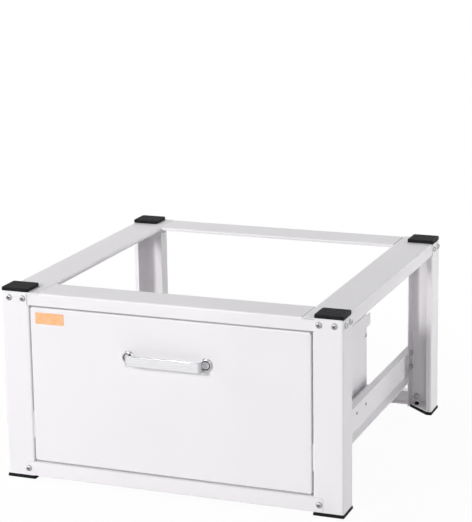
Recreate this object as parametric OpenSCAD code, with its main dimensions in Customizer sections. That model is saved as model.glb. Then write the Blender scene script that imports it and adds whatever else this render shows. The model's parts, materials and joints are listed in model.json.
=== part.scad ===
/* [Frame] */
// Width over the outer faces of the legs
frame_w = 615; // [520:5:700]
// Depth over the outer faces of the legs
frame_d = 600; // [520:5:700]
// Height from the floor to the top of the pads
overall_h = 342; // [310:1:400]
// Thickness of the frame's sheet steel
sheet = 1.5; // [1:0.1:2]
// Inner radius of the bends in the frame
bend_r = 1.5; // [0.5:0.5:3]

/* [Legs] */
// Width of a leg's front or rear flange
leg_w = 52; // [45:1:70]
// Depth of a leg's side flange
leg_d = 50; // [40:1:70]
// Depth of the flange that turns back beside the drawer
leg_return = 30; // [24:1:38]
// Width of the lip on the side flange
leg_lip = 10; // [6:1:16]

/* [Feet and pads] */
// Thickness of a foot under its leg
foot_h = 6; // [4:1:15]
// How far a foot's base stands out past the leg
foot_flare = 1; // [0.5:0.5:3]
// Distance of a foot's peg from the leg's end and inner faces
foot_peg_in = 14; // [10:1:20]
// Width of a pad, left to right
pad_w = 50; // [40:1:60]
// Depth of a pad, front to back
pad_d = 47; // [40:1:60]
// Thickness of a pad above the frame
pad_h = 6; // [4:1:12]
// Diameter of the pegs of the pads and feet
peg_dia = 8; // [5:1:12]

/* [Top rails] */
// Width of a top rail seen from above
top_rail_w = 70; // [56:1:90]
// Height of a top rail's outer flange
top_rail_h = 22.5; // [20:0.5:40]
// Height of the turned-down edge along a rail's inner side
top_rail_edge = 6; // [4:1:10]

/* [Bottom rails] */
// Height of a bottom rail
bottom_rail_h = 27; // [20:1:36]
// Depth of a bottom rail's flanges
bottom_rail_d = 18; // [12:1:26]
// How far a bottom rail's end laps over a leg
bottom_rail_lap = 17; // [15:1:24]

/* [Side rails] */
// Height of a side rail
side_rail_h = 61; // [52:1:80]
// Height of a side rail's lower edge above the floor
side_rail_z = 68; // [56:1:90]
// Width of a side rail's flanges
side_rail_flange = 15; // [10:1:20]
// How far the flanges' edges are cut back from a side rail's ends
side_rail_cut = 46; // [10:1:60]

/* [Drawer front] */
// Gap between the drawer front and the frame
front_gap = 2.5; // [1.5:0.5:4]
// Depth of the drawer front's folded edges
front_depth = 14; // [10:1:16]
// Thickness of the drawer's sheet steel
drawer_sheet = 1; // [0.8:0.1:1.5]

/* [Drawer box] */
// Depth of the drawer box behind the drawer front
box_d = 345; // [325:5:420]
// Height of the drawer box
box_h = 178; // [120:1:190]
// Height of the drawer box's underside above the floor
box_z = 72; // [60:1:90]
// Width of the drawer box's folded flanges
box_flange = 12; // [8:1:18]
// How far the stop ear stands out behind the box
ear_d = 22; // [12:1:30]
// Height of the stop ear
ear_h = 25; // [15:1:35]

/* [Slides] */
// Closed length of a slide
slide_l = 300; // [250:10:320]
// Height of a slide
slide_h = 45; // [40:1:48]
// Thickness of a closed slide
slide_t = 12.7; // [12.2:0.1:13.5]
// Thickness of the slide's steel
slide_sheet = 1.2; // [1:0.1:1.4]
// Diameter of a ball
ball_dia = 3.2; // [3:0.1:3.4]
// Clearance of a ball to each steel face
ball_gap = 0.3; // [0.2:0.05:0.4]
// Height of the step in each flange that keeps the balls in their track
ball_step = 0.5; // [0.3:0.1:0.6]
// Length of a ball cage
cage_l = 130; // [80:10:150]
// How far the drawer opens
travel = 300; // [150:10:300]

/* [Handle] */
// Length of the handle's bar over its two bends
handle_l = 138; // [100:2:200]
// Distance between the middles of the handle's round feet
handle_feet = 141; // [103:2:203]
// Height of the handle's strap
handle_h = 19; // [12:0.5:25]
// Thickness of the handle's strap
handle_t = 3; // [2:0.5:5]
// How far the handle stands out from the drawer front
handle_out = 24; // [18:1:45]
// Diameter of the handle's round feet
handle_foot = 23; // [16:1:26]
// Height of the handle's middle above the floor
handle_z = 239; // [200:1:260]

/* [Fasteners] */
// Diameter of the frame's bolts
bolt_dia = 6; // [5:0.5:6]
// Diameter of a bolt's round head
bolt_head_dia = 11; // [9:0.5:12]
// Height of a bolt's round head
bolt_head_h = 3.3; // [2:0.1:4]
// Width of a nut across its flats
nut_af = 10; // [8:0.5:10]
// Thickness of a nut
nut_h = 5; // [3:0.5:5]
// Diameter of the drawer's screws
screw_dia = 4; // [3:0.5:4]
// Radial clearance of a bolt or screw in its hole
hole_gap = 0.25; // [0.1:0.05:0.5]

/* [Hidden] */

// Paint and material colours
white_paint = [0.93, 0.93, 0.94];
black_rubber = [0.09, 0.09, 0.1];
zinc = [0.62, 0.64, 0.66];
bright_steel = [0.78, 0.79, 0.8];

// The origin is the middle of the whole outline on the floor, so the frame sits a little behind it
handle_reach = handle_out;
rear_reach = sheet + bolt_head_h;
y_shift = (handle_reach - rear_reach) / 2;

// Main planes of the frame, measured from its own middle
half_w = frame_w / 2;
half_d = frame_d / 2;
top_z = overall_h - pad_h;
leg_top = top_z - sheet;
rail_low = top_z - top_rail_h;
leg_inner = half_w - leg_w;
web_in = leg_inner - sheet;

// The leg's return and lip stop below the top rails, past the ends of their bends
notch_z = rail_low - 1;
notch_w = sheet + bend_r + 0.5;

// Bolt places, measured from the leg's outer corner
bolt_x = [15, leg_w - 11];
bolt_y = [12.5, leg_d - 13];
bolt_z = rail_low + top_rail_h / 2;
bottom_bolt_x = half_w - leg_w + bottom_rail_lap - 6.5;
bottom_bolt_z = foot_h + bottom_rail_h / 2;
bolt_tip = 1.5;

// Side rail and its end tabs
rail_mid = side_rail_z + side_rail_h / 2;
tab_h = side_rail_h - 12;
rail_end = half_d - leg_return - 1;
tab_end = half_d - sheet - 1;
tab_bolt_y = half_d - leg_return + 8;
tab_bolt_dz = 14;
tab_head_h = 2.2;

// Drawer front
front_hw = leg_inner - front_gap;
front_z0 = foot_h + bottom_rail_h + front_gap;
front_z1 = rail_low - front_gap;
drawer_r = 1;

// Drawer box, hung between the two slides
box_hw = web_in - slide_t;
box_y0 = -half_d + drawer_sheet;
box_y1 = box_y0 + box_d;
box_top = box_z + box_h;
floor_z = box_z + drawer_sheet;
hem = 8;
side_tab = 14;
side_tab_back = 20;
ear_lap = 30;
back_flange = 16;
back_hem_h = 40;

// One hole on each drawer side for the screw into the back's flange
back_screw_z = box_top - back_hem_h + 2;
back_screw_y = box_y1 - back_flange / 2 + 1;

// Slides, from the side rail's web inwards
slide_y0 = -half_d + leg_return + 6;
slide_y1 = slide_y0 + slide_l;
track = ball_dia + 2 * ball_gap - 2 * ball_step;
middle_h = slide_h - 2 * (ball_step + slide_sheet + track);
inner_h = middle_h - 2 * (slide_sheet + track);
middle_web = 3;
outer_flange = 9.4;
middle_flange = 8;
inner_flange = 6.6;

// Rows of balls: the outer row on the middle member's flanges, the inner row inside them
ball_x = [web_in - middle_web - 2, web_in - middle_web - middle_flange + 2];
ball_z = [for (h = [slide_h, middle_h + 2 * ball_step]) h / 2 - slide_sheet - ball_gap - ball_dia / 2];
step_from_ball = 0.9;
step_run = 1;
cage_t = 0.6;
cage_gap = 0.4;
cage_y0 = slide_y0 + travel / 4 + 4;
rivet_from_front = 20;
rivets_from_rear = [96, 42];
rivet_y = concat([slide_y0 + rivet_from_front], [for (d = rivets_from_rear) slide_y1 - d]);

// Handle
handle_foot_x = handle_feet / 2;
handle_foot_t = 4;
handle_r = 4;
screw_gap = 0.1;
pan_y = -half_d + drawer_sheet;

// Unit vector, left normal and the way between two unit vectors
function unit(v) = v / norm(v);
function left(d) = [-d[1], d[0]];
function between(a, b, s) =
    let (w = acos(max(-1, min(1, a * b))))
    w < 0.01 ? a : (a * sin((1 - s) * w) + b * sin(s * w)) / sin(w);

// A closed outline with its corners rounded to radius r in n steps
function rounded(p, r, n = 3) = [
    for (i = [0 : len(p) - 1])
        let (
            a = unit(p[(i + len(p) - 1) % len(p)] - p[i]),
            b = unit(p[(i + 1) % len(p)] - p[i]),
            half = acos(a * b) / 2,
            c = p[i] + unit(a + b) * r / sin(half),
            v1 = unit(p[i] + a * r / tan(half) - c),
            v2 = unit(p[i] + b * r / tan(half) - c)
        )
        for (k = [0 : n]) c + r * between(v1, v2, k / n)
];

// One face of a bent strip whose middle line is p; side is 1 for its left face
function strip_face(p, side, t, r, n) =
    let (last = len(p) - 1, d0 = unit(p[1] - p[0]), d1 = unit(p[last] - p[last - 1]))
    concat(
        [p[0] + left(d0) * side * t / 2],
        [
            for (i = [1 : last - 1])
                let (
                    a = unit(p[i] - p[i - 1]),
                    b = unit(p[i + 1] - p[i]),
                    k = sign(left(a) * b),
                    w = acos(a * b),
                    rc = r + t / 2,
                    c = p[i] - a * rc * tan(w / 2) + left(a) * k * rc
                )
                for (j = [0 : n]) c + (rc - side * k * t / 2) * between(-left(a) * k, -left(b) * k, j / n)
        ],
        [p[last] + left(d1) * side * t / 2]
    );

// Outline of a strip of sheet bent along p, with inner bend radius r
function strip(p, t, r, n = 3) =
    let (back = strip_face(p, -1, t, r, n))
    concat(strip_face(p, 1, t, r, n), [for (i = [len(back) - 1 : -1 : 0]) back[i]]);

function rectangle(x0, y0, x1, y1) = [[x0, y0], [x1, y0], [x1, y1], [x0, y1]];

// Extrudes a section drawn in X and Z from y0 to y1
module along_y(y0, y1) {
    translate([0, y1, 0]) rotate([90, 0, 0]) linear_extrude(y1 - y0) children();
}

// Extrudes a section drawn in Y and Z from x0 to x1
module along_x(x0, x1) {
    translate([x0, 0, 0]) rotate([90, 0, 90]) linear_extrude(x1 - x0) children();
}

// Extrudes an outline drawn in X and Y from z0 to z1
module along_z(z0, z1) {
    translate([0, 0, z0]) linear_extrude(z1 - z0) children();
}

// Moves a piece drawn round the frame's middle into the part's frame
module in_frame() {
    translate([0, y_shift, 0]) children();
}

// Takes a piece drawn for the right side to either side
module on_side(sx) {
    if (sx < 0) mirror([1, 0, 0]) children();
    else children();
}

// Takes a piece drawn for the front right corner to any corner
module on_corner(sx, sy) {
    on_side(sx) {
        if (sy > 0) mirror([0, 1, 0]) children();
        else children();
    }
}

// A round-headed bolt along +Z: its head's seat is at z = 0, its shank runs below it
module bolt(d, head_d, head_h, length) {
    r = head_d / 2;
    translate([0, 0, -length]) cylinder(h = length, d = d, $fn = 8);
    rotate_extrude($fn = 11)
        polygon([[0, 0], [r, 0], [r * 0.85, head_h * 0.65], [r * 0.45, head_h], [0, head_h]]);
}

// The same bolt with the nut that draws it tight behind a grip of sheet
module bolt_and_nut(head_d, head_h, grip) {
    bolt(bolt_dia, head_d, head_h, grip + nut_h + bolt_tip);
    translate([0, 0, -grip - nut_h]) cylinder(h = nut_h, d = nut_af / cos(30), $fn = 6);
}

// Turns a piece drawn along +Z to point along -Y or +X
module facing_front(p) {
    translate(p) rotate([90, 0, 0]) children();
}

module facing_right(p) {
    translate(p) rotate([0, 90, 0]) children();
}

// A hole of radius r through the sheets at p, along Y or X
module hole_y(p, r) {
    translate(p) rotate([90, 0, 0]) cylinder(h = 6 * sheet, r = r, center = true, $fn = 13);
}

module hole_x(p, r) {
    translate(p) rotate([0, 90, 0]) cylinder(h = 6 * sheet, r = r, center = true, $fn = 13);
}

// Front right leg: two outer flanges, a return beside the drawer, a lip and a welded base plate
module leg_shape() {
    hole_r = bolt_dia / 2 + hole_gap;
    m = sheet / 2;
    difference() {
        union() {
            along_z(foot_h, leg_top)
                polygon(strip([
                    [half_w - leg_lip, -half_d + leg_d - m],
                    [half_w - m, -half_d + leg_d - m],
                    [half_w - m, -half_d + m],
                    [leg_inner + m, -half_d + m],
                    [leg_inner + m, -half_d + leg_return]
                ], sheet, bend_r));
            along_z(foot_h, foot_h + sheet) polygon(rounded(foot_outline(0, m), bend_r + m, 2));
        }
        translate([foot_peg_x, foot_peg_y, foot_h])
            cylinder(h = 4 * sheet, d = peg_dia + 2 * hole_gap, center = true, $fn = 13);
        along_z(notch_z, top_z)
            polygon(rectangle(leg_inner - 1, -half_d - 1, leg_inner + notch_w, -half_d + leg_return + 1));
        along_z(notch_z, top_z)
            polygon(rectangle(
                half_w - leg_lip - 1, -half_d + leg_d - notch_w, half_w + 1, -half_d + leg_d + 1
            ));
        for (x = bolt_x) hole_y([half_w - x, -half_d, bolt_z], hole_r);
        for (y = bolt_y) hole_x([half_w, -half_d + y, bolt_z], hole_r);
        hole_y([bottom_bolt_x, -half_d, bottom_bolt_z], hole_r);
        for (dz = [-tab_bolt_dz, tab_bolt_dz]) hole_x([leg_inner, -tab_bolt_y, rail_mid + dz], hole_r);
    }
}

module leg(sx, sy) {
    color(white_paint) in_frame() on_corner(sx, sy) leg_shape();
}

// Outline of a leg's base, cut off along the leg's open corner
foot_peg_x = leg_inner + foot_peg_in;
foot_peg_y = -half_d + foot_peg_in;
foot_cut = 12;

function foot_outline(grow, inset) = [
    [half_w + grow - inset, -half_d - grow + inset],
    [half_w + grow - inset, -half_d + leg_d + grow - inset],
    [half_w - leg_lip + inset, -half_d + leg_d + grow - inset],
    [leg_inner - grow + inset, -half_d + foot_cut + inset],
    [leg_inner - grow + inset, -half_d - grow + inset]
];

// A peg along +Z from its slab, with a barb behind the sheet that it is pushed through
module peg() {
    barb = 1;
    cylinder(h = sheet + 1, d = peg_dia, $fn = 16);
    translate([0, 0, sheet + 0.3]) cylinder(h = 3.7, r1 = peg_dia / 2 + barb, r2 = peg_dia / 2 - barb, $fn = 16);
}

// Front right foot: a slab that flares out at its base, with a peg into the leg's base plate
module foot_shape() {
    flare_h = foot_h * 0.6;
    along_z(0, flare_h) polygon(rounded(foot_outline(foot_flare, 0), 2, 2));
    along_z(flare_h, foot_h) polygon(rounded(foot_outline(0, 0), bend_r + sheet, 2));
    translate([foot_peg_x, foot_peg_y, foot_h]) peg();
}

module foot(sx, sy) {
    color(black_rubber) in_frame() on_corner(sx, sy) foot_shape();
}

// Front right pad: a bevelled slab with a peg that holds it in the rail
pad_x = half_w - pad_w / 2;
pad_y = half_d - pad_d / 2;

module pad_shape() {
    bevel = 1;
    rim = rectangle(half_w - pad_w, -half_d, half_w, -half_d + pad_d);
    crown = rectangle(half_w - pad_w + bevel, -half_d + bevel, half_w - bevel, -half_d + pad_d - bevel);
    along_z(top_z, overall_h - bevel) polygon(rounded(rim, 4));
    along_z(overall_h - bevel, overall_h) polygon(rounded(crown, 4 - bevel));
    translate([pad_x, -pad_y, top_z]) mirror([0, 0, 1]) peg();
}

module pad(sx, sy) {
    color(black_rubber) in_frame() on_corner(sx, sy) pad_shape();
}

// Section of a top rail: outer flange, top and turned-down inner edge, from 0 inwards
function top_rail_section(sign, outer, low) = strip([
    [sign * (outer - sheet / 2), low],
    [sign * (outer - sheet / 2), top_z - sheet / 2],
    [sign * (half_w_inner(outer) + sheet / 2), top_z - sheet / 2],
    [sign * (half_w_inner(outer) + sheet / 2), top_z - top_rail_edge]
], sheet, bend_r);
function half_w_inner(outer) = outer + sheet - top_rail_w;

// Right top rail, the full depth of the frame, with its flange inside the legs
module side_top_rail() {
    difference() {
        along_y(-half_d, half_d) polygon(top_rail_section(1, half_w - sheet, rail_low));
        for (s = [-1, 1]) {
            end = rectangle(half_w - sheet - 2 * bend_r - 2 * sheet, s * (half_d - sheet - 0.3), half_w, s * (half_d + 1));
            along_z(rail_low - 1, top_z - sheet) polygon(end);
            along_z(top_z - top_rail_edge - 1, top_z - sheet)
                polygon(rectangle(
                    half_w - top_rail_w - 1, s * (half_d - top_rail_w), half_w - top_rail_w + 2 * sheet, s * (half_d + 1)
                ));
            for (y = bolt_y) hole_x([half_w, s * (half_d - y), bolt_z], bolt_dia / 2 + hole_gap);
            translate([pad_x, s * pad_y, top_z]) cylinder(h = 4 * sheet, d = peg_dia + 2 * hole_gap, center = true, $fn = 13);
        }
    }
}

// Front top rail: its top fits between the side rails, its flange runs on to the bolts
module end_top_rail() {
    top_hw = half_w - top_rail_w - 0.3;
    flange_hw = half_w - 2 * sheet - bend_r - 1;
    difference() {
        along_x(-flange_hw, flange_hw) polygon(top_rail_section(-1, half_d - sheet, rail_low));
        for (s = [-1, 1]) {
            along_z(top_z - sheet - bend_r - 0.3, top_z + 1)
                polygon(rectangle(s * top_hw, -half_d, s * half_w, -half_d + top_rail_w + 1));
            along_z(rail_low - 1, top_z)
                polygon(rectangle(s * top_hw, -half_d + 2 * sheet + 0.1, s * half_w, -half_d + top_rail_w + 1));
            for (x = bolt_x) hole_y([s * (half_w - x), -half_d, bolt_z], bolt_dia / 2 + hole_gap);
        }
    }
}

module top_rail_front() {
    color(white_paint) in_frame() end_top_rail();
}

module top_rail_rear() {
    color(white_paint) in_frame() mirror([0, 1, 0]) end_top_rail();
}

module top_rail_left() {
    color(white_paint) in_frame() mirror([1, 0, 0]) side_top_rail();
}

module top_rail_right() {
    color(white_paint) in_frame() side_top_rail();
}

// Front bottom rail: a channel between the legs whose face laps over them in round-cornered tabs
module bottom_rail() {
    m = sheet / 2;
    low = foot_h;
    high = foot_h + bottom_rail_h;
    tab = leg_inner + bottom_rail_lap;
    difference() {
        union() {
            along_x(-leg_inner + 1, leg_inner - 1)
                polygon(strip([
                    [-half_d + bottom_rail_d, low + m],
                    [-half_d - m, low + m],
                    [-half_d - m, high - m],
                    [-half_d + bottom_rail_d, high - m]
                ], sheet, bend_r));
            along_y(-half_d - sheet, -half_d)
                polygon(rounded(rectangle(-tab, low + 1.5, tab, high - 1.5), 3));
        }
        for (s = [-1, 1]) hole_y([s * bottom_bolt_x, -half_d, bottom_bolt_z], bolt_dia / 2 + hole_gap);
    }
}

module bottom_rail_front() {
    color(white_paint) in_frame() bottom_rail();
}

module bottom_rail_rear() {
    color(white_paint) in_frame() mirror([0, 1, 0]) bottom_rail();
}

// Right side rail: an outward channel with flat tabs bolted to the legs' returns.
// Its flanges narrow on a slant towards the legs
module side_rail() {
    m = sheet / 2;
    x0 = leg_inner + bend_r;
    x1 = leg_inner + side_rail_flange + 1;
    slant = side_rail_cut / (side_rail_flange - bend_r);
    difference() {
        union() {
            along_y(-rail_end, rail_end)
                polygon(strip([
                    [leg_inner + side_rail_flange - m, side_rail_z + m],
                    [leg_inner - m, side_rail_z + m],
                    [leg_inner - m, side_rail_z + side_rail_h - m],
                    [leg_inner + side_rail_flange - m, side_rail_z + side_rail_h - m]
                ], sheet, bend_r));
            along_x(web_in, leg_inner)
                polygon(rounded(rectangle(-tab_end, rail_mid - tab_h / 2, tab_end, rail_mid + tab_h / 2), 4));
        }
        for (s = [-1, 1]) {
            along_z(side_rail_z - 1, side_rail_z + side_rail_h + 1)
                polygon([
                    [x0, s * (rail_end + 1)], [x0, s * rail_end],
                    [x1, s * (rail_end - slant * (x1 - x0))], [x1, s * (rail_end + 1)]
                ]);
            for (dz = [-tab_bolt_dz, tab_bolt_dz])
                hole_x([leg_inner, s * tab_bolt_y, rail_mid + dz], bolt_dia / 2 + hole_gap);
        }
        for (y = rivet_y) hole_x([leg_inner, y, rail_mid], screw_dia / 2 + hole_gap);
    }
}

module side_rail_on(sx) {
    color(white_paint) in_frame() on_side(sx) side_rail();
}

// Bolts of the four corners and of the two bottom rails, heads outwards and nuts inside
module frame_bolts() {
    color(zinc) in_frame()
        for (sx = [-1, 1]) for (sy = [-1, 1]) on_corner(sx, sy) {
            for (x = bolt_x)
                facing_front([half_w - x, -half_d, bolt_z])
                    bolt_and_nut(bolt_head_dia, bolt_head_h, 2 * sheet);
            for (y = bolt_y)
                facing_right([half_w, -half_d + y, bolt_z])
                    bolt_and_nut(bolt_head_dia, bolt_head_h, 2 * sheet);
            facing_front([bottom_bolt_x, -half_d - sheet, bottom_bolt_z])
                bolt_and_nut(bolt_head_dia, bolt_head_h, 2 * sheet);
        }
}

// Flat-headed bolts through the side rails' tabs, with their nuts inside the legs
module side_rail_bolts() {
    color(zinc) in_frame()
        for (sx = [-1, 1]) for (sy = [-1, 1]) on_corner(sx, sy) for (dz = [-tab_bolt_dz, tab_bolt_dz])
            translate([web_in, -tab_bolt_y, rail_mid + dz]) rotate([0, -90, 0])
                bolt_and_nut(bolt_head_dia, tab_head_h, 2 * sheet);
}

// Section of a slide member: a channel with its web at x0 and its flanges reaching to x1.
// A flange's middle line lies z0 off the slide's middle beside the web, and z1 off past the step
function member_section(x0, x1, z0, z1, step) = let (x = x0 + sign(x1 - x0) * slide_sheet / 2) strip([
    [x1, rail_mid - z1], [step[1], rail_mid - z1], [step[0], rail_mid - z0], [x, rail_mid - z0],
    [x, rail_mid + z0], [step[0], rail_mid + z0], [step[1], rail_mid + z1], [x1, rail_mid + z1]
], slide_sheet, 0.8, 1);

// Right outer member, riveted to the side rail; its flanges step in past the balls
module slide_outer() {
    z = (slide_h - slide_sheet) / 2;
    x = ball_x[0] - step_from_ball;
    difference() {
        along_y(slide_y0, slide_y1)
            polygon(member_section(web_in, web_in - outer_flange, z, z - ball_step, [x, x - step_run]));
        for (y = rivet_y) hole_x([web_in, y, rail_mid], screw_dia / 2 + hole_gap);
    }
}

// Right middle member: its flanges carry balls on their outer faces beside the web,
// then step out and hold the inner balls on their inner faces
module slide_middle() {
    z = (middle_h - slide_sheet) / 2;
    x = web_in - middle_web;
    along_y(slide_y0 + 2, slide_y1 - 2)
        polygon(member_section(
            x, x - middle_flange, z - ball_step, z + ball_step,
            [ball_x[0] - step_from_ball, ball_x[1] + step_from_ball]
        ));
}

// Right inner member, screwed to the drawer box; its flanges step out past the balls
module slide_inner() {
    z = (inner_h - slide_sheet) / 2;
    x = ball_x[1] + step_from_ball;
    difference() {
        along_y(slide_y0, slide_y1 - 4)
            polygon(member_section(box_hw, box_hw + inner_flange, z - ball_step, z, [x, x + step_run]));
        for (y = rivet_y) hole_x([box_hw, y, rail_mid], screw_dia / 2 + hole_gap);
    }
}

module slide_outer_on(sx) {
    color(zinc) in_frame() on_side(sx) slide_outer();
}

module slide_middle_on(sx) {
    color(bright_steel) in_frame() on_side(sx) slide_middle();
}

module slide_inner_on(sx) {
    color(zinc) in_frame() on_side(sx) slide_inner();
}

// Section of a ball cage's strip, a channel that holds one row of balls above and one below
function cage_section(x0, x1, row_z) = let (x = x0 - cage_t / 2) strip([
    [x1, rail_mid - row_z], [x, rail_mid - row_z], [x, rail_mid + row_z], [x1, rail_mid + row_z]
], cage_t, 0.3, 1);

// Cage of the outer row (0) or inner row (1), with its web beside the web at x
module ball_cage(row, x) {
    along_y(cage_y0, cage_y0 + cage_l)
        polygon(cage_section(x - slide_sheet - cage_gap, ball_x[row] - ball_dia / 2, ball_z[row]));
}

// A cage rolls half as far as the member it carries, so it starts a quarter of the travel back.
// The outer cages run between the outer and middle members, the inner ones inside the middle member
module ball_cages_outer() {
    color(bright_steel) in_frame() for (sx = [-1, 1]) on_side(sx) ball_cage(0, web_in);
}

module ball_cages_inner() {
    color(bright_steel) in_frame() for (sx = [-1, 1]) on_side(sx) ball_cage(1, web_in - middle_web);
}

// Drawer front: a pan folded from one sheet, notched at its corners
module drawer_front() {
    m = drawer_sheet / 2;
    cut = drawer_sheet + drawer_r;
    color(white_paint) in_frame() difference() {
        union() {
            along_z(front_z0 + cut, front_z1 - cut)
                polygon(strip([
                    [-front_hw + m, -half_d + front_depth],
                    [-front_hw + m, -half_d + m],
                    [front_hw - m, -half_d + m],
                    [front_hw - m, -half_d + front_depth]
                ], drawer_sheet, drawer_r, 2));
            along_x(-front_hw + cut, front_hw - cut)
                polygon(strip([
                    [-half_d + front_depth, front_z0 + m],
                    [-half_d + m, front_z0 + m],
                    [-half_d + m, front_z1 - m],
                    [-half_d + front_depth, front_z1 - m]
                ], drawer_sheet, drawer_r, 2));
        }
        for (s = [-1, 1]) {
            hole_y([s * handle_foot_x, pan_y, handle_z], screw_dia / 2 + hole_gap);
        }
    }
}

// Right drawer side: folded top and bottom flanges, a front tab and a stop ear at the rear
module drawer_side() {
    m = drawer_sheet / 2;
    difference() {
        union() {
            along_y(box_y0 + drawer_sheet + drawer_r, box_y1)
                polygon(strip([
                    [box_hw - box_flange, box_z + m],
                    [box_hw - m, box_z + m],
                    [box_hw - m, box_top - m],
                    [box_hw - box_flange, box_top - m],
                    [box_hw - box_flange, box_top - hem]
                ], drawer_sheet, drawer_r, 2));
            along_z(box_z + hem / 2, box_top - hem / 2)
                polygon(strip([
                    [box_hw - side_tab, box_y0 + m],
                    [box_hw - m, box_y0 + m],
                    [box_hw - m, box_y0 + side_tab_back]
                ], drawer_sheet, drawer_r, 2));
            along_x(box_hw - drawer_sheet, box_hw)
                polygon(rounded([
                    [box_y1 - ear_lap, box_top - 3], [box_y1 - ear_lap, box_top - ear_h],
                    [box_y1 + ear_d, box_top - ear_h], [box_y1 + ear_d, box_top - 3]
                ], 1.5));
        }
        hole_x([box_hw, back_screw_y, back_screw_z], screw_dia / 2 + hole_gap);
        for (y = rivet_y) hole_x([box_hw, y, rail_mid], screw_dia / 2 + hole_gap);
    }
}

module drawer_side_on(sx) {
    color(white_paint) in_frame() on_side(sx) drawer_side();
}

// Drawer back: a wall with side flanges that lie inside the drawer sides
module drawer_back() {
    m = drawer_sheet / 2;
    hw = box_hw - drawer_sheet;
    low = floor_z + drawer_sheet + 0.3;
    color(white_paint) in_frame() difference() {
        union() {
            along_z(low, box_top - hem - 1)
                polygon(strip([
                    [-hw + m, box_y1 - back_flange], [-hw + m, box_y1 - m],
                    [hw - m, box_y1 - m], [hw - m, box_y1 - back_flange]
                ], drawer_sheet, drawer_r, 2));
            along_x(-box_hw + box_flange + 2, box_hw - box_flange - 2)
                polygon(strip([
                    [box_y1 - m, box_top - back_hem_h], [box_y1 - m, box_top - m],
                    [box_y1 - box_flange, box_top - m], [box_y1 - box_flange, box_top - hem]
                ], drawer_sheet, drawer_r, 2));
        }
        for (s = [-1, 1]) hole_x([s * hw, back_screw_y, back_screw_z], screw_dia / 2 + hole_gap);
    }
}

// Drawer floor, lying on the sides' bottom flanges
module drawer_floor() {
    hw = box_hw - drawer_sheet - drawer_r - 0.3;
    color(white_paint) in_frame()
        along_z(floor_z, floor_z + drawer_sheet)
            polygon(rectangle(-hw, box_y0 + drawer_sheet + 0.3, hw, box_y1 - 0.3));
}

// Handle: a flat strap bent back square at both ends on to two round feet
module handle() {
    bar_y = -half_d - handle_out + handle_t / 2;
    end_x = (handle_l - handle_t) / 2;
    strap_end = -half_d - handle_foot_t / 2;
    color(bright_steel) in_frame() difference() {
        union() {
            along_z(handle_z - handle_h / 2, handle_z + handle_h / 2)
                polygon(strip([
                    [-end_x, strap_end], [-end_x, bar_y], [end_x, bar_y], [end_x, strap_end]
                ], handle_t, handle_r, 4));
            for (s = [-1, 1])
                translate([s * handle_foot_x, -half_d, handle_z]) rotate([90, 0, 0])
                    cylinder(h = handle_foot_t, d = handle_foot, $fn = 24);
        }
        for (s = [-1, 1])
            translate([s * handle_foot_x, -half_d + 1, handle_z]) rotate([90, 0, 0])
                cylinder(h = handle_foot_t, d = screw_dia + 2 * screw_gap, $fn = 16);
    }
}

// Screws through the drawer front into the handle's feet
module handle_screws() {
    color(zinc) in_frame() for (s = [-1, 1])
        translate([s * handle_foot_x, pan_y, handle_z]) rotate([-90, 0, 0])
            bolt(screw_dia, screw_dia * 2, 2.6, drawer_sheet + handle_foot_t - 1.2);
}

leg(-1, -1);  // leg_front_left
leg(1, -1);  // leg_front_right
leg(-1, 1);  // leg_rear_left
leg(1, 1);  // leg_rear_right
foot(-1, -1);  // foot_front_left
foot(1, -1);  // foot_front_right
foot(-1, 1);  // foot_rear_left
foot(1, 1);  // foot_rear_right
pad(-1, -1);  // pad_front_left
pad(1, -1);  // pad_front_right
pad(-1, 1);  // pad_rear_left
pad(1, 1);  // pad_rear_right
top_rail_front();
top_rail_rear();
top_rail_left();
top_rail_right();
bottom_rail_front();
bottom_rail_rear();
side_rail_on(-1);  // side_rail_left
side_rail_on(1);  // side_rail_right
frame_bolts();
side_rail_bolts();
slide_outer_on(-1);  // slide_outer_left
slide_outer_on(1);  // slide_outer_right
slide_middle_on(-1);  // slide_middle_left
slide_middle_on(1);  // slide_middle_right
slide_inner_on(-1);  // slide_inner_left
slide_inner_on(1);  // slide_inner_right
ball_cages_outer();
ball_cages_inner();
drawer_front();
drawer_side_on(-1);  // drawer_side_left
drawer_side_on(1);  // drawer_side_right
drawer_back();
drawer_floor();
handle();
handle_screws();
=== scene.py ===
import json
import math

import bmesh
import bpy
from mathutils import Matrix, Vector


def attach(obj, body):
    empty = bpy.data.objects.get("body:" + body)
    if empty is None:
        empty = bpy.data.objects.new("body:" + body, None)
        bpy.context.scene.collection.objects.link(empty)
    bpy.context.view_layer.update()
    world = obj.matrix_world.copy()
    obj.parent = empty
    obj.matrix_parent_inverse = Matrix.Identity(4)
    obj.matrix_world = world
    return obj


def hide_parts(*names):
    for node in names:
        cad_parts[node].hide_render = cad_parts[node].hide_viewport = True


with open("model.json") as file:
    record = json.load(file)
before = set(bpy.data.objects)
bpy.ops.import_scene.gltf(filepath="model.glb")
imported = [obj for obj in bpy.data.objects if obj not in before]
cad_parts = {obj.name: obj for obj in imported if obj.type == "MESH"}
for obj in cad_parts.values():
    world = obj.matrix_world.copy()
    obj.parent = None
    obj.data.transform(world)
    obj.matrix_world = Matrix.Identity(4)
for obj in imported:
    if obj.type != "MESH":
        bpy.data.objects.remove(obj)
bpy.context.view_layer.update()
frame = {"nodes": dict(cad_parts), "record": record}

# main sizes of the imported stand, in metres
stand = {
    "width": 0.615,
    "depth": 0.600,
    "middleY": 0.0096,
    "sheet": 0.0015,
    "drawerSheet": 0.001,
    "topZ": 0.336,
    "legWidth": 0.052,
    "legDepth": 0.050,
    "legLip": 0.010,
    "slideZ": 0.0985,
    "slideHoles": (-0.2344, -0.0504, 0.0036),
    "railWeb": 0.254,
    "boxSide": 0.2413,
}
halfW = stand["width"] / 2
halfD = stand["depth"] / 2
frontY = stand["middleY"] - halfD
rearY = stand["middleY"] + halfD
legInner = halfW - stand["legWidth"]

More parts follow.
